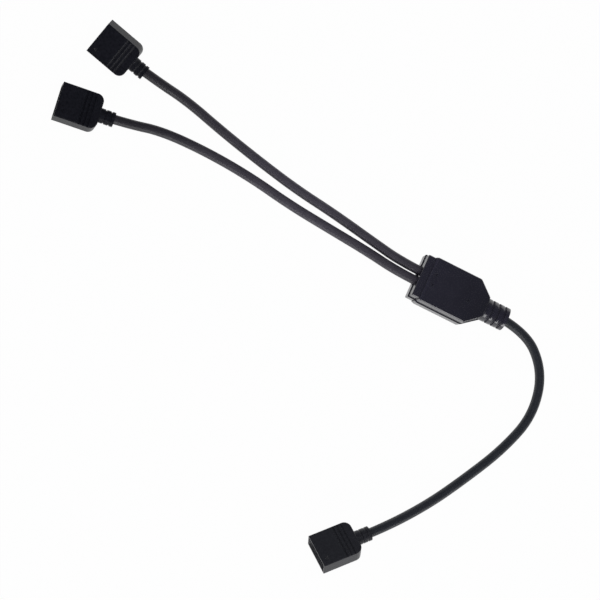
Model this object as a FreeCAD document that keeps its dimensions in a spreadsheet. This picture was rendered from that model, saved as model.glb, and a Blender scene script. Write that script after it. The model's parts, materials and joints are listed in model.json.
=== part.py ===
import FreeCAD, Part
import math
import os
import Sketcher

from FreeCAD import Placement, Rotation, Vector

# Four-core Y splitter cable: a trunk lead and two branch leads meet in a moulded junction, and
# each lead ends in an over-moulded four-way socket. The junction's axis lies along X with the
# trunk at +X, its middle is over the origin, and everything rests on z = 0.

# Driving sizes, in millimetres and degrees
DRIVING = {
    # leads
    "cable_diameter": 3.4,
    "wire_diameter": 0.9,
    "wire_gap": 0.1,
    "jacket_clearance": 0.05,
    "branch_lead": 7,
    "trunk_lead": 7.5,
    "socket_lead": 5,
    # junction moulding
    "block_length": 18.5,
    "block_width": 17.7,
    "junction_thickness": 8.6,
    "draft_angle": 2,
    "parting_step": 0.3,
    "collar_length": 2.9,
    "collar_inset": 0.55,
    "collar_step": 0.2,
    "collar_drop": 0.4,
    "collar_corner_radius": 0.5,
    "shoulder_length": 1.2,
    "taper_length": 5.7,
    "block_corner_radius": 1.3,
    "block_edge": 0.3,
    "relief_diameter": 8.5,
    "relief_length": 8.6,
    "relief_first_ring": 1.6,
    "relief_groove_count": 3,
    "relief_groove_pitch": 2.4,
    "relief_groove_width": 0.8,
    "relief_groove_depth": 0.35,
    "pin_mark_diameter": 1,
    "pin_mark_depth": 0.2,
    "pin_mark_setback": 2.6,
    "pin_mark_spacing": 3.75,
    "pin_mark_shift": 0.4,
    "far_mark_setback": 1.75,
    "far_mark_shift": 0.7,
    # inside the junction
    "branch_spacing": 3.8,
    "branch_seat": 3.5,
    "trunk_seat": 9,
    "core_margin": 0.4,
    "splice_length": 4,
    "splice_gap": 0.15,
    # socket moulding
    "socket_width": 12.75,
    "socket_thickness": 6,
    "socket_length": 15,
    "socket_corner_radius": 2.6,
    "socket_edge": 0.3,
    "socket_seat": 6,
    "boot_diameter": 5.2,
    "boot_length": 5.3,
    "boot_end_ring": 1.1,
    "boot_groove_count": 2,
    "boot_groove_pitch": 2,
    "boot_groove_width": 0.55,
    "boot_groove_depth": 0.28,
    "grip_setback": 8.9,
    "grip_groove_count": 3,
    "grip_groove_pitch": 1.48,
    "grip_groove_width": 0.7,
    "grip_groove_depth": 0.35,
    "arrow_size": 1.2,
    "arrow_depth": 0.2,
    "arrow_setback": 1.4,
    # inside the socket
    "contact_pitch": 2.54,
    "contact_size": 1.8,
    "contact_wall": 0.25,
    "contact_clearance": 0.05,
    "tail_length": 1.5,
    "mouth_depth": 1.2,
    "mouth_wall": 0.55,
    "insert_length": 7,
    "insert_front_wall": 1,
    "pin_entry": 1,
    "lead_in": 0.25,
    "mould_margin": 0.4,
}

# Sizes that follow from the driving ones
FOLLOWING = {
    "cable_radius": "cable_diameter / 2",
    "wire_radius": "wire_diameter / 2",
    "wire_offset": "(wire_diameter + wire_gap) / 2",
    "jacket_bore": "cable_diameter + 2 * jacket_clearance",
    # junction stations along X, from the branch end to the trunk end
    "junction_end": "(collar_length + block_length + taper_length + relief_length) / 2",
    "block_start": "collar_length - junction_end",
    "block_end": "block_start + block_length",
    "relief_start": "block_end + taper_length",
    "branch_stop": "branch_seat - junction_end",
    "trunk_stop": "junction_end - trunk_seat",
    "axis_height": "junction_thickness / 2",
    "block_half": "block_width / 2",
    "collar_half": "block_half - collar_inset",
    "relief_radius": "relief_diameter / 2",
    # splices, stacked in the middle of the inner mould
    "splice_start": "(branch_stop + trunk_stop - splice_length) / 2",
    "splice_end": "splice_start + splice_length",
    "splice_pitch": "wire_diameter + 2 * splice_gap",
    "splice_thickness": "splice_pitch - splice_gap",
    "branch_offset": "branch_spacing / 2",
    "splice_half": "branch_offset + wire_offset + wire_radius",
    "core_half": "splice_half + core_margin",
    "core_thickness": "3 * splice_pitch + splice_thickness + 2 * core_margin",
    # socket stations along its own X, from the end of its boot to its mating face
    "socket_front": "boot_length + socket_length",
    "insert_front": "socket_front - mouth_depth",
    "insert_back": "insert_front - insert_length",
    "tail_end": "insert_back - tail_length",
    "socket_half": "socket_width / 2",
    "socket_half_thickness": "socket_thickness / 2",
    "boot_radius": "boot_diameter / 2",
    "cavity": "contact_size + 2 * contact_clearance",
    "contact_span": "3 * contact_pitch",
    "insert_width": "socket_width - 2 * mouth_wall",
    "insert_thickness": "socket_thickness - 2 * mouth_wall",
    "contact_length": "insert_length - insert_front_wall",
    "mould_half": "contact_span / 2 + wire_radius + mould_margin",
    "mould_thickness": "2 * (wire_offset + wire_radius + mould_margin)",
}

CIRCUITS = ("blue", "red", "green", "common")
MIDDLE = (len(CIRCUITS) - 1) / 2

# Where each socket lies: the point on the table under the end of its boot, the heading of its
# mating face and its roll about its own length
SOCKETS = {
    "a": {"end": (-134.3, 20.2), "heading": 166.1, "roll": -36},
    "b": {"end": (-136.85, 1.2), "heading": -172.2, "roll": 4.5},
    "trunk": {"end": (3.45, -89.45), "heading": -134, "roll": 29},
}

# Each lead's free route in (x, y, z), between the straight runs that leave its two mouldings
ROUTES = {
    "a": [(-37, 4.1, 2.9), (-53, 7, 1.7), (-69, 8.8, 1.7), (-85, 11.8, 1.7), (-101, 15.3, 1.7),
          (-117, 18.6, 2.9)],
    "b": [(-37, 0, 2.9), (-53, 1.5, 1.7), (-69, 2.8, 1.7), (-85, 5.3, 1.7), (-102, 6.6, 1.7),
          (-120, 6.3, 2)],
    "trunk": [(38.8, -9.6, 2.5), (42.2, -26, 1.7), (36.5, -42, 1.7), (28.2, -57, 1.7), (19.3, -71, 2.2)],
}

# How much of a run the arc at its end takes up, how many flats a core is drawn with, and how
# close two places are that count as one
ARC_SHARE = 0.45
WIRE_SIDES = 6
TOUCH = 0.01

doc = FreeCAD.newDocument("splitter_cable")
sizes = doc.addObject("Spreadsheet::Sheet", "sizes")
nodes = []


def fill_sheet():
    rows = [(name, str(value)) for name, value in DRIVING.items()]
    rows += [(name, "=" + formula) for name, formula in FOLLOWING.items()]
    for row, (name, content) in enumerate(rows, 1):
        sizes.set(f"A{row}", name)
        sizes.set(f"B{row}", content)
        sizes.setAlias(f"B{row}", name)
    doc.recompute()


def size(name):
    return float(sizes.get(name))


def bind(target, bindings):
    for path, expression in bindings.items():
        target.setExpression(path, expression)
    return target


def node(part, name, place=None):
    part.Label = name
    if place is not None:
        part.Placement = place
    nodes.append(part)
    return part


# Sketches and features

def origin_of(body, role):
    return next(feature for feature in body.Origin.OriginFeatures if feature.Role == role)


def sketch_on(body, name, role, lift):
    sketch = body.newObject("Sketcher::SketchObject", name)
    sketch.AttachmentSupport = [(origin_of(body, role), "")]
    sketch.MapMode = "FlatFace"
    return bind(sketch, {"AttachmentOffset.Base.z": lift})


def tie_point(sketch, edge, end, point):
    # holds one end of a line, or a circle's centre, at a point given by two expressions
    for kind, axis, expression in (("DistanceX", -2, point[0]), ("DistanceY", -1, point[1])):
        value = float(sketch.evalExpression(expression))
        if abs(value) < 1e-9:
            sketch.addConstraint(Sketcher.Constraint("PointOnObject", edge, end, axis))
        else:
            index = sketch.addConstraint(Sketcher.Constraint(kind, -1, 1, edge, end, value))
            sketch.setExpression(f"Constraints[{index}]", expression)


def outline(body, name, role, *loops, lift="0"):
    sketch = sketch_on(body, name, role, lift)
    for loop in loops:
        corners = [Vector(*(float(sketch.evalExpression(part)) for part in point)) for point in loop]
        first = sketch.GeometryCount
        count = len(loop)
        for i in range(count):
            sketch.addGeometry(Part.LineSegment(corners[i], corners[(i + 1) % count]), False)
        for i in range(count):
            following = first + (i + 1) % count
            sketch.addConstraint(Sketcher.Constraint("Coincident", first + i, 2, following, 1))
            tie_point(sketch, first + i, 1, loop[i])
    return sketch


def circles(body, name, role, diameter, *centres, lift="0"):
    sketch = sketch_on(body, name, role, lift)
    for centre in centres:
        middle = Vector(*(float(sketch.evalExpression(part)) for part in centre))
        width = float(sketch.evalExpression(diameter))
        edge = sketch.addGeometry(Part.Circle(middle, Vector(0, 0, 1), width / 2), False)
        tie_point(sketch, edge, 3, centre)
        index = sketch.addConstraint(Sketcher.Constraint("Diameter", edge, width))
        sketch.setExpression(f"Constraints[{index}]", diameter)
    return sketch


def mirrored_outline(half):
    # closes an outline drawn on the +Y side, from one end of the X axis to the other
    return half + [(x, f"-({y})") for x, y in reversed(half)]


def rectangle(low_x, high_x, half_y):
    return mirrored_outline([(low_x, half_y), (high_x, half_y)])


def square_at(y, half):
    return [(f"{y} - {half}", f"-({half})"), (f"{y} + {half}", f"-({half})"),
            (f"{y} + {half}", half), (f"{y} - {half}", half)]


def feature(body, kind, name, sketch, side="One side", reverse=False, **bindings):
    made = body.newObject("PartDesign::" + kind, name)
    made.Profile = sketch
    if kind in ("Pad", "Pocket"):
        made.SideType = side
    else:
        made.ReferenceAxis = (sketch, ["H_Axis"])
    made.Reversed = reverse
    bind(made, bindings)
    doc.recompute()
    return made


def dress(body, kind, name, chosen, reverse=False, **bindings):
    # works the chosen edges of what the body is so far, or for a draft its chosen faces
    base = body.Tip
    family, members = ("Face", base.Shape.Faces) if kind == "Draft" else ("Edge", base.Shape.Edges)
    made = body.newObject("PartDesign::" + kind, name)
    made.Base = (base, [f"{family}{i}" for i, member in enumerate(members, 1) if chosen(member)])
    if kind == "Draft":
        made.NeutralPlane = (origin_of(body, "XY_Plane"), [""])
        made.PullDirection = (origin_of(body, "Z_Axis"), [""])
        made.Reversed = reverse
    bind(made, bindings)
    doc.recompute()
    return made


def row_of(body, name, originals, role, pitch, count, reverse=False):
    pattern = body.newObject("PartDesign::LinearPattern", name)
    pattern.Originals = originals
    pattern.Direction = (origin_of(body, role), [""])
    pattern.Mode = "Spacing"
    pattern.Reversed = reverse
    bind(pattern, {"Offset": pitch, "Occurrences": count})
    body.Tip = pattern
    doc.recompute()
    return pattern


def lies_at(edge, axis, place):
    # true where the whole edge lies in the plane that crosses the axis at this place
    box = edge.BoundBox
    low = getattr(box, axis + "Min")
    high = getattr(box, axis + "Max")
    return abs(low - place) < TOUCH and abs(high - place) < TOUCH


def ring_grooves(body, name, start, width, depth, radius, pitch, count):
    # square grooves round the X axis, as a strain relief has
    end = f"{start} + {width}"
    profile = [(start, f"{radius} + {depth}"), (start, f"{radius} - {depth}"),
               (end, f"{radius} - {depth}"), (end, f"{radius} + {depth}")]
    groove = feature(body, "Groove", name, outline(body, name + "_profile", "XY_Plane", profile))
    row_of(body, name + "s", [groove], "X_Axis", pitch, count)


# Junction

def junction_housing():
    body = doc.addObject("PartDesign::Body", "junction_housing")
    mould_half(body, "upper", 1, "sizes.parting_step")
    mould_half(body, "lower", -1, "0")
    strain_relief(body)
    junction_hollows(body)
    bind(body, {"Placement.Base.z": "sizes.axis_height"})
    return node(body, "junction_housing")


def mould_half(body, half, side, inset):
    # one half of the moulding, above or below the parting plane, set in from the full outline
    collar = rectangle(f"{inset} - sizes.junction_end", "sizes.block_start + sizes.shoulder_length",
                       f"sizes.collar_half - {inset}")
    feature(body, "Pad", half + "_collar", outline(body, half + "_collar_outline", "XY_Plane", collar),
            reverse=side < 0, Length="sizes.axis_height - sizes.collar_drop")
    block = mirrored_outline([
        (f"sizes.block_start + {inset}", f"sizes.collar_half + sizes.collar_step - {inset}"),
        ("sizes.block_start + sizes.shoulder_length", f"sizes.block_half - {inset}"),
        ("sizes.block_end", f"sizes.block_half - {inset}"),
        (f"sizes.relief_start - {inset}", f"sizes.relief_radius - {inset}"),
    ])
    feature(body, "Pad", half + "_block", outline(body, half + "_block_outline", "XY_Plane", block),
            reverse=side < 0, Length="sizes.axis_height")
    level = side * size("axis_height")
    collar_level = level - side * size("collar_drop")
    collar_end = body.Tip.Shape.BoundBox.XMin

    def in_half(item):
        return side * item.BoundBox.Center.z > TOUCH

    def upright_at(place):
        return lambda edge: in_half(edge) and edge.BoundBox.ZLength > TOUCH and lies_at(edge, "X", place)

    def wall(face):
        return in_half(face) and abs(face.normalAt(0, 0).z) < TOUCH

    def block_rim(edge):
        return lies_at(edge, "Z", level) and edge.BoundBox.XLength > TOUCH

    def collar_rim(edge):
        return lies_at(edge, "Z", collar_level) and edge.BoundBox.XMin < size("block_start")

    dress(body, "Fillet", half + "_block_corners", upright_at(size("block_end")),
          Radius="sizes.block_corner_radius")
    dress(body, "Fillet", half + "_collar_corners", upright_at(collar_end),
          Radius="sizes.collar_corner_radius")
    dress(body, "Draft", half + "_draft", wall, reverse=side < 0, Angle="sizes.draft_angle")
    dress(body, "Chamfer", half + "_block_rim", block_rim, Size="sizes.block_edge")
    dress(body, "Chamfer", half + "_collar_rim", collar_rim, Size="sizes.block_edge")


def strain_relief(body):
    # the relief is rooted inside the taper, whose drafted end leans away from it
    profile = [("sizes.block_end", "0"), ("sizes.block_end", "sizes.relief_radius"),
               ("sizes.junction_end", "sizes.relief_radius"), ("sizes.junction_end", "0")]
    feature(body, "Revolution", "relief", outline(body, "relief_profile", "XY_Plane", profile))
    ring_grooves(body, "relief_groove", "sizes.relief_start + sizes.relief_first_ring",
                 "sizes.relief_groove_width", "sizes.relief_groove_depth", "sizes.relief_radius",
                 "sizes.relief_groove_pitch", "sizes.relief_groove_count")


def junction_hollows(body):
    core = rectangle("sizes.branch_stop", "sizes.trunk_stop", "sizes.core_half")
    feature(body, "Pocket", "core_space", outline(body, "core_outline", "XY_Plane", core),
            side="Symmetric", Length="sizes.core_thickness")
    branches = circles(body, "branch_bores_at", "YZ_Plane", "sizes.jacket_bore",
                       ("-sizes.branch_offset", "0"), ("sizes.branch_offset", "0"),
                       lift="-sizes.junction_end")
    feature(body, "Pocket", "branch_bores", branches, reverse=True, Length="sizes.branch_seat")
    trunk = circles(body, "trunk_bore_at", "YZ_Plane", "sizes.jacket_bore", ("0", "0"),
                    lift="sizes.junction_end")
    feature(body, "Pocket", "trunk_bore", trunk, Length="sizes.trunk_seat")
    near = "sizes.block_start + sizes.pin_mark_setback"
    marks = circles(body, "pin_marks_at", "XY_Plane", "sizes.pin_mark_diameter",
                    (near, "sizes.pin_mark_shift + sizes.pin_mark_spacing / 2"),
                    (near, "sizes.pin_mark_shift - sizes.pin_mark_spacing / 2"),
                    ("sizes.block_end - sizes.far_mark_setback", "-sizes.far_mark_shift"),
                    lift="sizes.axis_height")
    feature(body, "Pocket", "pin_marks", marks, Length="sizes.pin_mark_depth")


def straight_wire(name, start, end, place=None):
    # an insulated core, drawn with a few flats, that slants from one face to another
    section = doc.addObject("Part::RegularPolygon", name + "_section")
    section.Polygon = WIRE_SIDES
    section.Placement = Placement(Vector(), Rotation(Vector(0, 1, 0), 90))
    bind(section, {"Circumradius": "sizes.wire_radius"})
    wire = doc.addObject("Part::Extrusion", name)
    wire.Base = section
    wire.DirMode = "Custom"
    wire.Solid = True
    for axis, low, high in zip("xyz", start, end):
        bind(section, {"Placement.Base." + axis: low})
        bind(wire, {"Dir." + axis: f"({high}) - ({low})"})
    return node(wire, name, place)


def signed(sign, expression):
    return expression if sign > 0 else f"-({expression})"


def splice_stack():
    # four flat splices, one above another: the cores of both branches enter each on one side
    # and the trunk's core leaves it on the other
    pieces = []
    for level, circuit in enumerate(CIRCUITS):
        up = 1 if level > MIDDLE else -1
        outward = 1 if level in (0, len(CIRCUITS) - 1) else -1
        height = f"sizes.axis_height + ({level - MIDDLE}) * sizes.splice_pitch"
        bundle_height = f"sizes.axis_height + ({up}) * sizes.wire_offset"
        splice = doc.addObject("Part::Box", "splice_" + circuit)
        bind(splice, {
            "Length": "sizes.splice_length",
            "Width": "2 * sizes.splice_half",
            "Height": "sizes.splice_thickness",
            "Placement.Base.x": "sizes.splice_start",
            "Placement.Base.y": "-sizes.splice_half",
            "Placement.Base.z": f"{height} - sizes.splice_thickness / 2",
        })
        pieces.append(node(splice, "splice_" + circuit))
        for side, letter in ((1, "a"), (-1, "b")):
            across = signed(side, f"sizes.branch_offset + ({outward}) * sizes.wire_offset")
            pieces.append(straight_wire(f"branch_{letter}_core_{circuit}",
                                        ("sizes.branch_stop", across, bundle_height),
                                        ("sizes.splice_start", across, height)))
        across = signed(outward, "sizes.wire_offset")
        pieces.append(straight_wire(f"trunk_core_{circuit}",
                                    ("sizes.trunk_stop", across, bundle_height),
                                    ("sizes.splice_end", across, height)))
    return pieces


def moulded_round(name, blank, pieces):
    # the inner mould is what is left of its blank round the pieces that it was shot over
    held = doc.addObject("Part::MultiFuse", name + "_held")
    held.Shapes = pieces
    mould = doc.addObject("Part::Cut", name)
    mould.Base = blank
    mould.Tool = held
    return node(mould, name)


def junction_inner_mould(pieces):
    blank = doc.addObject("Part::Box", "junction_inner_mould_blank")
    bind(blank, {
        "Length": "sizes.trunk_stop - sizes.branch_stop",
        "Width": "2 * sizes.core_half",
        "Height": "sizes.core_thickness",
        "Placement.Base.x": "sizes.branch_stop",
        "Placement.Base.y": "-sizes.core_half",
        "Placement.Base.z": "sizes.axis_height - sizes.core_thickness / 2",
    })
    return moulded_round("junction_inner_mould", blank, pieces)


# Sockets

def socket_place(name):
    # the socket rests on its underside, or on a long edge where it has rolled over
    rest = SOCKETS[name]
    roll = math.radians(abs(rest["roll"]))
    half, thick, edge = size("socket_half"), size("socket_half_thickness"), size("socket_edge")
    corners = ((half, thick - edge), (half - edge, thick))
    height = max(y * math.sin(roll) + z * math.cos(roll) for y, z in corners)
    turn = Rotation(Vector(0, 0, 1), rest["heading"]) * Rotation(Vector(1, 0, 0), rest["roll"])
    return Placement(Vector(*rest["end"], height), turn)


def socket_housing(name, place):
    body = doc.addObject("PartDesign::Body", name)
    plan = rectangle("sizes.boot_length", "sizes.socket_front", "sizes.socket_half")
    feature(body, "Pad", "grip", outline(body, "grip_outline", "XY_Plane", plan),
            side="Symmetric", Length="sizes.socket_thickness")
    thickness = size("socket_thickness")

    def rear_corner(edge):
        return lies_at(edge, "X", size("boot_length")) and edge.BoundBox.ZLength > thickness / 2

    def rim(edge):
        level = any(lies_at(edge, "Z", side * thickness / 2) for side in (1, -1))
        return level and not lies_at(edge, "X", size("socket_front"))

    dress(body, "Fillet", "rear_corners", rear_corner, Radius="sizes.socket_corner_radius")
    dress(body, "Chamfer", "rim", rim, Size="sizes.socket_edge")
    socket_boot(body)
    socket_marks(body)
    socket_hollows(body)
    return node(body, name, place)


def socket_boot(body):
    inside = "sizes.boot_length + sizes.socket_edge"
    profile = [("0", "0"), ("0", "sizes.boot_radius"), (inside, "sizes.boot_radius"), (inside, "0")]
    feature(body, "Revolution", "boot", outline(body, "boot_profile", "XY_Plane", profile))
    ring_grooves(body, "boot_groove", "sizes.boot_end_ring", "sizes.boot_groove_width",
                 "sizes.boot_groove_depth", "sizes.boot_radius", "sizes.boot_groove_pitch",
                 "sizes.boot_groove_count")


def socket_marks(body):
    # finger grooves over the top and underside, and an arrow over the common contact
    middle = "sizes.socket_front - sizes.grip_setback"
    half = "sizes.grip_groove_width / 2"
    top = "sizes.socket_half_thickness"
    floor = f"{top} - sizes.grip_groove_depth"
    upper = [(f"{middle} - {half}", f"{top}"), (f"{middle} - {half} / 2", floor),
             (f"{middle} + {half} / 2", floor), (f"{middle} + {half}", f"{top}")]
    lower = [(x, f"-({z})") for x, z in upper]
    grooves = feature(body, "Pocket", "grip_groove",
                      outline(body, "grip_groove_profile", "XZ_Plane", upper, lower),
                      side="Symmetric", Length="sizes.socket_width")
    row_of(body, "grip_grooves", [grooves], "X_Axis", "sizes.grip_groove_pitch",
           "sizes.grip_groove_count", reverse=True)
    tip = "sizes.socket_front - sizes.arrow_setback"
    back = f"{tip} - sizes.arrow_size"
    across = "sizes.contact_span / 2"
    arrow = [(tip, across), (back, f"{across} + sizes.arrow_size / 2"),
             (back, f"{across} - sizes.arrow_size / 2")]
    feature(body, "Pocket", "arrow", outline(body, "arrow_outline", "XY_Plane", arrow, lift=top),
            Length="sizes.arrow_depth")


def mould_outline():
    return mirrored_outline([("sizes.socket_seat", "sizes.cable_radius"),
                             ("sizes.tail_end", "sizes.mould_half"),
                             ("sizes.insert_back", "sizes.mould_half")])


def socket_hollows(body):
    mouth = rectangle("-sizes.insert_width / 2", "sizes.insert_width / 2", "sizes.insert_thickness / 2")
    feature(body, "Pocket", "insert_space",
            outline(body, "insert_space_outline", "YZ_Plane", mouth, lift="sizes.socket_front"),
            Length="sizes.mouth_depth + sizes.insert_length")
    feature(body, "Pocket", "mould_space",
            outline(body, "mould_space_outline", "XY_Plane", mould_outline()),
            side="Symmetric", Length="sizes.mould_thickness")
    bore = circles(body, "cable_bore_at", "YZ_Plane", "sizes.jacket_bore", ("0", "0"))
    feature(body, "Pocket", "cable_bore", bore, reverse=True, Length="sizes.socket_seat")


def socket_insert(name, place):
    # rigid carrier: four cavities behind a front wall with square, funnelled pin entries
    body = doc.addObject("PartDesign::Body", name)
    block = rectangle("-sizes.insert_width / 2", "sizes.insert_width / 2", "sizes.insert_thickness / 2")
    feature(body, "Pad", "carrier",
            outline(body, "carrier_outline", "YZ_Plane", block, lift="sizes.insert_back"),
            Length="sizes.insert_length")
    first = "-sizes.contact_span / 2"
    hollow = square_at(first, "sizes.cavity / 2")
    cavity = feature(body, "Pocket", "cavity",
                     outline(body, "cavity_outline", "YZ_Plane", hollow, lift="sizes.insert_back"),
                     reverse=True, Length="sizes.contact_length")
    hole = square_at(first, "sizes.pin_entry / 2")
    entry = feature(body, "Pocket", "pin_entry",
                    outline(body, "pin_entry_outline", "YZ_Plane", hole, lift="sizes.insert_front"),
                    Length="sizes.insert_front_wall")
    funnel = square_at(first, "(sizes.pin_entry / 2 + sizes.lead_in)")
    lead = feature(body, "Pocket", "lead_in",
                   outline(body, "lead_in_outline", "YZ_Plane", funnel, lift="sizes.insert_front"),
                   Length="sizes.lead_in", TaperAngle="-45")
    row_of(body, "four_ways", [cavity, entry, lead], "Y_Axis", "sizes.contact_pitch",
           str(len(CIRCUITS)))
    return node(body, name, place)


def contact(name, place):
    # folded box that grips a square pin, with a square tail for the core
    body = doc.addObject("PartDesign::Body", name)
    outside = square_at("0", "sizes.contact_size / 2")
    feature(body, "Pad", "box",
            outline(body, "box_outline", "YZ_Plane", outside, lift="sizes.insert_back"),
            Length="sizes.contact_length")
    inside = square_at("0", "(sizes.contact_size / 2 - sizes.contact_wall)")
    front = "sizes.insert_back + sizes.contact_length"
    feature(body, "Pocket", "grip_space",
            outline(body, "grip_space_outline", "YZ_Plane", inside, lift=front),
            Length="sizes.contact_length - sizes.contact_wall")
    tail = square_at("0", "sizes.wire_radius")
    feature(body, "Pad", "tail", outline(body, "tail_outline", "YZ_Plane", tail, lift="sizes.tail_end"),
            Length="sizes.tail_length")
    return node(body, name, place)


def socket(letter):
    prefix = f"socket_{letter}_"
    place = socket_place(letter)
    socket_housing(prefix + "housing", place)
    socket_insert(prefix + "insert", place)
    pieces = []
    for way, circuit in enumerate(CIRCUITS):
        offset = way - MIDDLE
        across = Vector(0, offset * size("contact_pitch"), 0)
        pieces.append(contact(prefix + "contact_" + circuit, place * Placement(across, Rotation())))
        side = 1 if offset > 0 else -1
        outward = 1 if abs(offset) > 1 else -1
        start = ("sizes.socket_seat", f"({side}) * sizes.wire_offset", f"({outward}) * sizes.wire_offset")
        end = ("sizes.tail_end", f"({offset}) * sizes.contact_pitch", "0")
        pieces.append(straight_wire(prefix + "core_" + circuit, start, end, place))
    blank = doc.addObject("PartDesign::Body", prefix + "inner_mould_blank")
    feature(blank, "Pad", "mould", outline(blank, "mould_outline", "XY_Plane", mould_outline()),
            side="Symmetric", Length="sizes.mould_thickness")
    blank.Placement = place
    moulded_round(prefix + "inner_mould", blank, pieces)
    return place


# Leads

def lead_route(letter, place):
    # the route starts at the jacket's stop in the junction and ends at its stop in the socket,
    # and leaves both along their own axes
    if letter == "trunk":
        stop, mouth, across = size("trunk_stop"), size("junction_end") + size("trunk_lead"), 0
    else:
        stop, mouth = size("branch_stop"), -size("junction_end") - size("branch_lead")
        across = size("branch_offset") if letter == "a" else -size("branch_offset")
    height = size("axis_height")
    leaving = [Vector(stop, across, height), Vector(mouth, across, height)]
    arriving = [place.multVec(Vector(along, 0, 0)) for along in (-size("socket_lead"), size("socket_seat"))]
    return leaving + [Vector(*point) for point in ROUTES[letter]] + arriving


def rounded_path(points):
    # straight runs joined by tangent arcs, each as large as its two runs allow
    edges = []
    radii = []
    reached = points[0]
    for before, corner, after in zip(points, points[1:], points[2:]):
        incoming = (corner - before).normalize()
        outgoing = (after - corner).normalize()
        setback = ARC_SHARE * min(before.distanceToPoint(corner), corner.distanceToPoint(after))
        turn = incoming.getAngle(outgoing)
        radius = setback / math.tan(turn / 2)
        inward = (outgoing - incoming).normalize()
        arc_start = corner - incoming * setback
        arc_end = corner + outgoing * setback
        arc_middle = corner + inward * (radius / math.cos(turn / 2) - radius)
        edges.append(Part.LineSegment(reached, arc_start).toShape())
        edges.append(Part.Arc(arc_start, arc_middle, arc_end).toShape())
        radii.append(radius)
        reached = arc_end
    edges.append(Part.LineSegment(reached, points[-1]).toShape())
    return Part.Wire(edges), radii


def cable(name, points):
    path, radii = rounded_path(points)
    spine = doc.addObject("Part::Feature", name + "_route")
    spine.Shape = path
    section = doc.addObject("Part::Circle", name + "_section")
    section.Placement = Placement(points[0], Rotation(Vector(0, 0, 1), points[1] - points[0]))
    bind(section, {"Radius": "sizes.cable_radius"})
    sweep = doc.addObject("Part::Sweep", name)
    sweep.Sections = [section]
    sweep.Spine = (spine, [])
    sweep.Solid = True
    doc.recompute()
    expected = math.pi * size("cable_radius") ** 2 * path.Length
    print(f"{name}: length {path.Length:.1f}, volume over section times length "
          f"{sweep.Shape.Volume / expected:.4f}, radii", [round(radius) for radius in radii])
    return node(sweep, name)


def build():
    fill_sheet()
    junction_housing()
    junction_inner_mould(splice_stack())
    for letter, name in (("a", "branch_a_cable"), ("b", "branch_b_cable"), ("trunk", "trunk_cable")):
        cable(name, lead_route(letter, socket(letter)))
    doc.recompute()


def check():
    for item in doc.Objects:
        if "Invalid" in item.State or "Error" in item.State:
            raise RuntimeError(f"{item.Label} did not compute: {item.State}")
    for part in nodes:
        if part.Shape.isNull() or not part.Shape.isValid() or len(part.Shape.Solids) != 1:
            raise RuntimeError(f"{part.Label} is not one sound solid")


def write():
    os.makedirs("parts", exist_ok=True)
    for part in nodes:
        part.Shape.exportStep(os.path.join("parts", part.Label + ".step"))
    print(len(nodes), "parts written")


build()
check()
write()
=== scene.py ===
import bpy
import json
from math import pi
from mathutils import Matrix, Vector


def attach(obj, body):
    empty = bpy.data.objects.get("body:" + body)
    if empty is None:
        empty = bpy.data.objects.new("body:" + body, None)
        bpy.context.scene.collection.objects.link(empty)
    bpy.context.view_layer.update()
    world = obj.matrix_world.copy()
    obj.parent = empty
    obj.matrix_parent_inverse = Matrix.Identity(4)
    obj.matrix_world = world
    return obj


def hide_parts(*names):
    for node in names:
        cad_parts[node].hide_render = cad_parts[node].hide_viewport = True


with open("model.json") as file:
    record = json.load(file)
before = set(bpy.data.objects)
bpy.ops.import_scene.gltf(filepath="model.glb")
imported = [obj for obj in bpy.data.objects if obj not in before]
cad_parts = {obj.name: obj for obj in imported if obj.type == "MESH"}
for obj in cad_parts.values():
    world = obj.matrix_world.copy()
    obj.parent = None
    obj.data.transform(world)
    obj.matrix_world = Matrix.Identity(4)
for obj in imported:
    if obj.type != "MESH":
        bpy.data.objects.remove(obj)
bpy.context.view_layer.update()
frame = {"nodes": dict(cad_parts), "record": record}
nodes = frame["nodes"]
print("frame loaded:", len(nodes), "nodes")


# leads: the routes of the three cables, from the junction to the sockets

leads = {
    "branchLeadA": {
        "node": "branch_a_cable",
        "socket": "socket_a_",
        "length": 0.128,
        "exit": (-0.01785, 0.0019, 0.0043),
        "route": [(-0.01435, 0.0019, 0.0043), (-0.02485, 0.0019, 0.0043), (-0.037, 0.0041, 0.0029),
                  (-0.053, 0.007, 0.0017), (-0.069, 0.0088, 0.0017), (-0.085, 0.0118, 0.0017),
                  (-0.101, 0.0153, 0.0017), (-0.1169, 0.0191, 0.0029), (-0.1293, 0.0197, 0.006),
                  (-0.14012, 0.02164, 0.006)],
    },
    "branchLeadB": {
        "node": "branch_b_cable",
        "socket": "socket_b_",
        "length": 0.130,
        "exit": (-0.01785, -0.0019, 0.0043),
        "route": [(-0.01435, -0.0019, 0.0043), (-0.02485, -0.0019, 0.0043), (-0.037, 0.0, 0.0029),
                  (-0.053, 0.0015, 0.0017), (-0.069, 0.0028, 0.0017), (-0.085, 0.0052, 0.0017),
                  (-0.102, 0.0063, 0.0017), (-0.12, 0.0057, 0.002), (-0.1319, 0.0022, 0.00347),
                  (-0.14279, 0.00039, 0.00347)],
    },
    "trunkLead": {
        "node": "trunk_cable",
        "socket": "socket_trunk_",
        "length": 0.1295,
        "exit": (0.01785, 0.0, 0.0043),
        "route": [(0.00885, 0.0, 0.0043), (0.02535, 0.0003, 0.0043), (0.0385, -0.0098, 0.0025),
                  (0.042, -0.026, 0.0017), (0.0365, -0.042, 0.0017), (0.0282, -0.057, 0.0017),
                  (0.01945, -0.0711, 0.0022), (0.0071, -0.086, 0.00557), (-0.00072, -0.09377, 0.00557)],
    },
}
jacket = {"diameter": 0.0034, "roundness": 7, "order": 3, "smoothness": 24}


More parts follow.
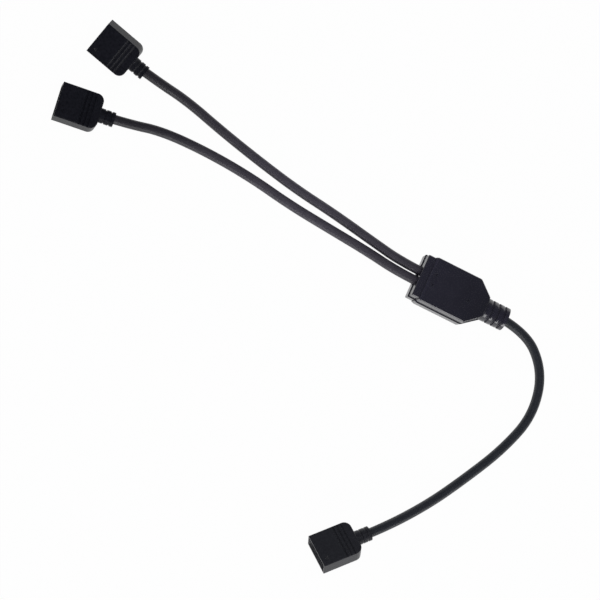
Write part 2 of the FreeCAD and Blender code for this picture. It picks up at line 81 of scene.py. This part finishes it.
def layLead(name, lead):
    curve = bpy.data.curves.new(name, "CURVE")
    curve.dimensions = "3D"
    curve.bevel_depth = 1.0     # each point carries the tube's own radius
    curve.bevel_resolution = jacket["roundness"]
    curve.use_fill_caps = True
    spline = curve.splines.new("NURBS")
    spline.points.add(len(lead["route"]) - 1)
    for point, place in zip(spline.points, lead["route"]):
        point.co = (*place, 1.0)
        point.radius = jacket["diameter"] / 2
    spline.order_u = jacket["order"]    # after the points, or the line stays straight between them
    spline.use_endpoint_u = True
    spline.resolution_u = jacket["smoothness"]
    cord = bpy.data.objects.new(name, curve)
    bpy.context.scene.collection.objects.link(cord)
    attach(cord, "root")
    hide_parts(lead["node"])
    return cord


cords = {name: layLead(name, lead) for name, lead in leads.items()}
print("leads laid:", ", ".join(cords))


# materials

noiseSpan = (0.3, 0.7)      # most of a noise lies between these
noiseDetail = {"cloud": 3.0, "spark": 2.0, "streak": 2.0}
cornerSamples = 8
plainRim = {"radius": 0.0001}


def newFinish(name):
    finish = bpy.data.materials.new(name)
    finish.use_nodes = True
    tree = finish.node_tree
    return finish, tree, tree.nodes["Principled BSDF"]


def addNode(tree, kind, **values):
    node = tree.nodes.new(kind)
    for name, value in values.items():
        if name in node.inputs:
            node.inputs[name].default_value = value
        else:
            setattr(node, name, value)
    return node


def grain(tree, scale, detail, stretch=(1, 1, 1), space="Object"):
    place = addNode(tree, "ShaderNodeTexCoord")
    mapping = addNode(tree, "ShaderNodeMapping")
    mapping.inputs["Scale"].default_value = stretch
    noise = addNode(tree, "ShaderNodeTexNoise", Scale=scale, Detail=detail)
    tree.links.new(place.outputs[space], mapping.inputs["Vector"])
    tree.links.new(mapping.outputs["Vector"], noise.inputs["Vector"])
    return noise


def rescale(tree, source, fromMin, fromMax, toMin, toMax):
    ramp = addNode(tree, "ShaderNodeMapRange")
    ends = {"From Min": fromMin, "From Max": fromMax, "To Min": toMin, "To Max": toMax}
    for name, value in ends.items():
        ramp.inputs[name].default_value = value
    tree.links.new(source, ramp.inputs["Value"])
    return ramp.outputs["Result"]


def spread(tree, source, low, high):
    return rescale(tree, source.outputs["Fac"], *noiseSpan, low, high)


def blendColours(tree, source, dark, light):
    mix = tree.nodes.new("ShaderNodeValToRGB")
    for stop, position, colour in zip(mix.color_ramp.elements, noiseSpan, (dark, light)):
        stop.position = position
        stop.color = (*colour, 1)
    tree.links.new(source.outputs["Fac"], mix.inputs["Fac"])
    return mix.outputs["Color"]


def alongX(tree):
    place = addNode(tree, "ShaderNodeTexCoord")
    split = addNode(tree, "ShaderNodeSeparateXYZ")
    tree.links.new(place.outputs["Object"], split.inputs[0])
    return split.outputs["X"]


def roundRings(tree, rings, normal):
    start = rings["firstGroove"] - rings["pitch"] / 2
    end = start + rings["grooves"] * rings["pitch"]
    phase = rescale(tree, alongX(tree), start, end, -pi / 2, (rings["grooves"] - 0.5) * pi)
    wave = addNode(tree, "ShaderNodeMath", operation="SINE")
    crown = addNode(tree, "ShaderNodeMath", operation="ABSOLUTE")
    swell = addNode(tree, "ShaderNodeBump", Strength=1.0, Distance=rings["depth"])
    tree.links.new(phase, wave.inputs[0])
    tree.links.new(wave.outputs[0], crown.inputs[0])
    tree.links.new(crown.outputs[0], swell.inputs["Height"])
    tree.links.new(normal, swell.inputs["Normal"])
    return swell.outputs["Normal"]


def texture(tree, shader, source, depth, look):
    edge = look.get("edge", plainRim)
    softRim = addNode(tree, "ShaderNodeBevel", samples=cornerSamples, Radius=edge["radius"])
    normal = softRim.outputs["Normal"]
    if "rings" in look:         # no soft rim on the ringed end, only its rings
        narrow = rescale(tree, alongX(tree), *edge["tightFrom"], edge["radius"], edge["tight"])
        tree.links.new(narrow, softRim.inputs["Radius"])
        normal = roundRings(tree, look["rings"], normal)
    bump = addNode(tree, "ShaderNodeBump", Strength=1.0, Distance=depth)
    tree.links.new(normal, bump.inputs["Normal"])
    tree.links.new(source.outputs["Fac"], bump.inputs["Height"])
    tree.links.new(bump.outputs["Normal"], shader.inputs["Normal"])


def roughenCrevices(tree, smooth, crevice):
    hollow = addNode(tree, "ShaderNodeAmbientOcclusion", samples=cornerSamples, Distance=crevice["reach"])
    blend = addNode(tree, "ShaderNodeMix", data_type="FLOAT")
    blend.inputs["B"].default_value = crevice["roughness"]
    share = rescale(tree, hollow.outputs["AO"], *crevice["shade"], 1.0, 0.0)
    tree.links.new(share, blend.inputs["Factor"])
    tree.links.new(smooth, blend.inputs["A"])
    return blend.outputs["Result"]


# painted light: a pale colour painted into hollows near a centre, strongest where they are deepest
def paintLightInHollows(tree, colour, paintedHollowLight):
    hollow = addNode(tree, "ShaderNodeAmbientOcclusion", samples=cornerSamples, Distance=paintedHollowLight["reach"])
    hollowPower = addNode(tree, "ShaderNodeMath", operation="POWER")
    hollowPower.inputs[1].default_value = paintedHollowLight["hollowPower"]
    blend = addNode(tree, "ShaderNodeMixRGB")
    blend.inputs["Color2"].default_value = (*paintedHollowLight["colour"], 1)
    place = addNode(tree, "ShaderNodeTexCoord")
    apart = addNode(tree, "ShaderNodeVectorMath", operation="DISTANCE")
    apart.inputs[1].default_value = paintedHollowLight["centre"]
    near = addNode(tree, "ShaderNodeMath", operation="MULTIPLY")
    tree.links.new(rescale(tree, hollow.outputs["AO"], 0.0, 1.0, 1.0, 0.0), hollowPower.inputs[0])
    tree.links.new(place.outputs["Object"], apart.inputs[0])
    tree.links.new(rescale(tree, apart.outputs["Value"], *paintedHollowLight["within"], 1.0, 0.0), near.inputs[0])
    tree.links.new(hollowPower.outputs[0], near.inputs[1])
    tree.links.new(near.outputs[0], blend.inputs["Fac"])
    tree.links.new(colour, blend.inputs["Color1"])
    return blend.outputs["Color"]


# painted light and shade: multiplies a colour by a ramp that is paler and darker along X
def paintShadeAlong(tree, colour, stops):
    first, last = stops[0][0], stops[-1][0]
    ramp = tree.nodes.new("ShaderNodeValToRGB")
    for _ in stops[2:]:
        ramp.color_ramp.elements.new(1.0)
    for element, (place, share) in zip(ramp.color_ramp.elements, stops):
        element.position = (place - first) / (last - first)
        element.color = (share, share, share, 1)
    paintedShade = addNode(tree, "ShaderNodeMixRGB", blend_type="MULTIPLY", Fac=1.0)
    tree.links.new(rescale(tree, alongX(tree), first, last, 0.0, 1.0), ramp.inputs["Fac"])
    tree.links.new(colour, paintedShade.inputs["Color1"])
    tree.links.new(ramp.outputs["Color"], paintedShade.inputs["Color2"])
    return paintedShade.outputs["Color"]


def mouldedFinish(name, look):
    finish, tree, shader = newFinish(name)
    cloud = grain(tree, look["cloudScale"], noiseDetail["cloud"])
    spark = grain(tree, look["sparkScale"], noiseDetail["spark"])
    colour = blendColours(tree, cloud, look["dark"], look["light"])
    if "along" in look:         # painted light and shade, paler and darker along X
        colour = paintShadeAlong(tree, colour, look["along"])
    if "paintedHollowLight" in look:          # painted light: a pale colour in socket A's grooves and the trunk socket's mouth
        colour = paintLightInHollows(tree, colour, look["paintedHollowLight"])
    tree.links.new(colour, shader.inputs["Base Color"])
    sheen = cloud
    if "streaks" in look:       # the die leaves fine lines along an extruded jacket
        sheen = grain(tree, 1.0, noiseDetail["streak"], stretch=look["streaks"], space="UV")
    skin = spread(tree, sheen, *look["roughness"])
    if "crevice" in look:       # the mould's grooves are left rough
        skin = roughenCrevices(tree, skin, look["crevice"])
    tree.links.new(skin, shader.inputs["Roughness"])
    shader.inputs["Specular IOR Level"].default_value = look["gloss"]
    shader.inputs["Metallic"].default_value = look.get("metal", 0.0)
    texture(tree, shader, spark, look["sparkDepth"], look)
    return finish


# painted highlight in socket A's grooves, standing in for their lit walls; painted light in the trunk
# socket's mouth, standing in for its lit inner wall
grooveHighlightPaint = {"colour": (0.17, 0.17, 0.18), "reach": 0.004, "hollowPower": 2.0,
              "centre": (-0.1483, 0.0237, 0.012), "within": (0.017, 0.019)}       # round socket A
mouthLightPaint = {"colour": (0.6, 0.6, 0.61), "reach": 0.008, "hollowPower": 3.5,
             "centre": (-0.0107, -0.1041, 0.0056), "within": (0.0075, 0.0085)}    # round the trunk's mouth
socketLook = {"edge": {"radius": 0.0003}, "cloudScale": 1100, "sparkScale": 5200, "sparkDepth": 0.00001}
jacketLook = {"roughness": (0.4, 0.54), "gloss": 0.5, "streaks": (14, 70, 1), "cloudScale": 260,
              "sparkScale": 4200, "sparkDepth": 0.000012}
metalLook = {"metal": 1.0, "gloss": 0.5, "cloudScale": 900, "sparkScale": 6000, "sparkDepth": 0.000004}
coreLook = {"roughness": (0.35, 0.45), "gloss": 0.5, "cloudScale": 700, "sparkScale": 5000,
            "sparkDepth": 0.000006}
finishes = {
    "black_moulding": {**socketLook, "dark": (0.0072, 0.0074, 0.0104), "light": (0.012, 0.0123, 0.0172),
                       "roughness": (0.26, 0.34), "gloss": 0.08, "paintedHollowLight": grooveHighlightPaint},
    # painted light: the trunk socket takes a lighter copy of the socket moulding, as more light falls on
    # it
    "trunk_socket_painted_lighter": {**socketLook, "dark": (0.0185, 0.019, 0.0232), "light": (0.025, 0.0255, 0.0305),
                          "roughness": (0.28, 0.36), "gloss": 0.2, "paintedHollowLight": mouthLightPaint},
    "junction_skin": {"dark": (0.019, 0.0172, 0.031), "light": (0.026, 0.0235, 0.041),
                      "roughness": (0.2, 0.26), "gloss": 0.9,
                      # painted light and shade along X: a painted highlight line at the collar step,
                      # darkest where the taper meets the ringed end
                      "along": [(-0.01785, 0.72), (-0.0148, 0.7), (-0.0142, 1.0), (-0.0134, 0.7),
                                (-0.004, 0.6), (0.0088, 0.42), (0.0105, 0.7), (0.0179, 0.75)],
                      "edge": {"radius": 0.0003, "tight": 0.0, "tightFrom": (0.0085, 0.0092)},
                      "rings": {"firstGroove": 0.01125, "pitch": 0.0024, "grooves": 3, "depth": 0.00028},
                      "crevice": {"reach": 0.0009, "shade": (0.66, 0.93), "roughness": 1.0},
                      "cloudScale": 180, "sparkScale": 5200, "sparkDepth": 0.000006},
    "cable_jacket": {**jacketLook, "dark": (0.049, 0.0435, 0.058), "light": (0.063, 0.056, 0.073),
                     # painted shade: the branch jackets are darker towards the sockets
                     "along": [(-0.135, 0.3), (-0.122, 0.38), (-0.08, 0.95), (-0.06, 1.0), (-0.02, 0.72)]},
    # painted shade: the trunk cable takes a darker copy of the branch jacket
    "trunk_jacket_painted_darker": {**jacketLook, "dark": (0.0145, 0.0165, 0.0215), "light": (0.02, 0.0225, 0.0285)},
    "socket_insert": {"dark": (0.04, 0.041, 0.045), "light": (0.052, 0.053, 0.057),
                      "roughness": (0.45, 0.55), "gloss": 0.4, "cloudScale": 300, "sparkScale": 5000,
                      "sparkDepth": 0.000008},
    "inner_mould": {"dark": (0.66, 0.65, 0.6), "light": (0.76, 0.75, 0.71), "roughness": (0.45, 0.6),
                    "gloss": 0.5, "cloudScale": 400, "sparkScale": 3000, "sparkDepth": 0.00001},
    "contact_plating": {**metalLook, "dark": (0.78, 0.6, 0.28), "light": (0.86, 0.69, 0.36),
                        "roughness": (0.2, 0.32)},
    "splice_copper": {**metalLook, "dark": (0.66, 0.38, 0.22), "light": (0.76, 0.48, 0.3),
                      "roughness": (0.28, 0.42)},
    "core_black": {**coreLook, "dark": (0.014, 0.014, 0.014), "light": (0.02, 0.02, 0.02)},
    "core_green": {**coreLook, "dark": (0.02, 0.25, 0.06), "light": (0.03, 0.31, 0.08)},
    "core_red": {**coreLook, "dark": (0.44, 0.015, 0.015), "light": (0.52, 0.022, 0.02)},
    "core_blue": {**coreLook, "dark": (0.015, 0.05, 0.36), "light": (0.022, 0.065, 0.44)},
}
ownSkins = {"junction_housing": "junction_skin", "socket_trunk_housing": "trunk_socket_painted_lighter",
            "trunkLead": "trunk_jacket_painted_darker"}
made = {slot: mouldedFinish(slot, look) for slot, look in finishes.items()}
for part in frame["record"]["subparts"]:
    mesh = nodes[part["node"]].data
    mesh.materials.clear()
    skin = ownSkins.get(part["node"], part["material_slot"])
    mesh.materials.append(made[skin])
for name, cord in cords.items():
    cord.data.materials.append(made[ownSkins.get(name, "cable_jacket")])
print("finishes made:", len(made))


# floor, light and camera

stage = {"floorSize": 6.0, "floorColour": (0.9, 0.9, 0.9, 1), "whiteShare": 0.975}


def layFloor():
    half = stage["floorSize"] / 2
    mesh = bpy.data.meshes.new("paleFloor")
    corners = [(-half, -half, 0), (half, -half, 0), (half, half, 0), (-half, half, 0)]
    mesh.from_pydata(corners, [], [(0, 1, 2, 3)])
    floor = bpy.data.objects.new("paleFloor", mesh)
    bpy.context.scene.collection.objects.link(floor)
    paint = bpy.data.materials.new("paleFloor")
    paint.use_nodes = True
    tree = paint.node_tree
    tree.nodes.clear()
    matt = addNode(tree, "ShaderNodeBsdfDiffuse", Color=stage["floorColour"])
    glow = addNode(tree, "ShaderNodeEmission")
    path = addNode(tree, "ShaderNodeLightPath")
    seen = addNode(tree, "ShaderNodeMath", operation="MAXIMUM")
    seenThrough = addNode(tree, "ShaderNodeMath", operation="MAXIMUM")
    share = addNode(tree, "ShaderNodeMath", operation="MULTIPLY")
    share.inputs[1].default_value = stage["whiteShare"]
    mix = addNode(tree, "ShaderNodeMixShader")
    out = addNode(tree, "ShaderNodeOutputMaterial")
    tree.links.new(path.outputs["Is Camera Ray"], seen.inputs[0])
    tree.links.new(path.outputs["Is Glossy Ray"], seen.inputs[1])
    tree.links.new(seen.outputs[0], seenThrough.inputs[0])
    tree.links.new(path.outputs["Is Transmission Ray"], seenThrough.inputs[1])
    tree.links.new(seenThrough.outputs[0], share.inputs[0])
    tree.links.new(share.outputs[0], mix.inputs["Fac"])
    tree.links.new(matt.outputs[0], mix.inputs[1])
    tree.links.new(glow.outputs[0], mix.inputs[2])
    tree.links.new(mix.outputs[0], out.inputs["Surface"])
    mesh.materials.append(paint)


room = {"ceiling": (0.115, 0.12, 0.145, 1), "walls": (1.0, 1.0, 1.0, 1), "wallTop": (0.08, 0.24),
        "frontGlow": (0, 0, 0, 1), "backGlow": (0.18, 0.19, 0.21, 1), "backFrom": (0.35, 0.8)}


def lightRoom():
    world = bpy.data.worlds.new("studio")
    world.use_nodes = True
    tree = world.node_tree
    back = tree.nodes["Background"]
    place = addNode(tree, "ShaderNodeTexCoord")
    split = addNode(tree, "ShaderNodeSeparateXYZ")
    both = addNode(tree, "ShaderNodeMix", data_type="RGBA", blend_type="LIGHTEN")
    both.inputs["Factor"].default_value = 1.0
    tree.links.new(place.outputs["Generated"], split.inputs[0])
    fades = [(split.outputs["Z"], room["wallTop"], room["walls"], room["ceiling"]),
             (split.outputs["Y"], room["backFrom"], room["frontGlow"], room["backGlow"])]
    for side, (axis, span, low, high) in zip(("A", "B"), fades):
        fade = tree.nodes.new("ShaderNodeValToRGB")
        fade.color_ramp.interpolation = "EASE"
        for stop, position, colour in zip(fade.color_ramp.elements, span, (low, high)):
            stop.position = position
            stop.color = colour
        tree.links.new(axis, fade.inputs["Fac"])
        socket = next(s for s in both.inputs if s.name == side and s.type == "RGBA")
        tree.links.new(fade.outputs["Color"], socket)
    shade = next(s for s in both.outputs if s.type == "RGBA")
    tree.links.new(shade, back.inputs["Color"])
    bpy.context.scene.world = world


softboxes = {
    "frontSoftbox": {"place": (-0.06, -1.1, 0.22), "aim": (-0.05, -0.02, 0.0), "size": (0.36, 0.16),
                     "watts": 1.1},
    "tallSoftbox": {"place": (0.33, -1.08, 0.38), "aim": (0.0, -0.02, 0.0), "size": (0.34, 0.6),
                    "watts": 2.8},
    "rightSoftbox": {"place": (1.1, -0.5, 0.3), "aim": (-0.02, -0.06, 0.0), "size": (0.3, 0.16),
                     "watts": 1.4},
    "overheadFill": {"place": (-0.05, -0.02, 1.5), "aim": (-0.05, -0.02, 0.0), "size": (1.2, 1.2),
                     "watts": 11.0, "mirrored": False},
}


def hangSoftbox(name, box):
    lamp = bpy.data.lights.new(name, "AREA")
    lamp.shape = "RECTANGLE"
    lamp.size, lamp.size_y = box["size"]
    lamp.energy = box["watts"]
    holder = bpy.data.objects.new(name, lamp)
    place = Vector(box["place"])
    turn = (Vector(box["aim"]) - place).to_track_quat("-Z", "Y")
    holder.matrix_world = Matrix.Translation(place) @ turn.to_matrix().to_4x4()
    holder.visible_glossy = box.get("mirrored", True)
    bpy.context.scene.collection.objects.link(holder)


photoCamera = {"eye": (-0.18806, -0.18215, 0.7725), "aim": (-0.05133, -0.02562, 0.0),
               "up": (-0.4164, 0.90921, 0.0), "lens": 137.74, "sensor": 36.0, "nearest": 0.01}


def setCamera():
    data = bpy.data.cameras.new("photoCamera")
    data.lens = photoCamera["lens"]
    data.sensor_width = photoCamera["sensor"]
    data.clip_start = photoCamera["nearest"]
    holder = bpy.data.objects.new("photoCamera", data)
    eye = Vector(photoCamera["eye"])
    back = (eye - Vector(photoCamera["aim"])).normalized()
    right = Vector(photoCamera["up"]).cross(back).normalized()
    up = back.cross(right)
    turn = Matrix((right, up, back)).transposed().to_4x4()
    holder.matrix_world = Matrix.Translation(eye) @ turn
    bpy.context.scene.collection.objects.link(holder)
    bpy.context.scene.camera = holder


layFloor()
lightRoom()
for name, box in softboxes.items():
    hangSoftbox(name, box)
setCamera()
bpy.context.scene.view_settings.view_transform = "Standard"
print("stage set")
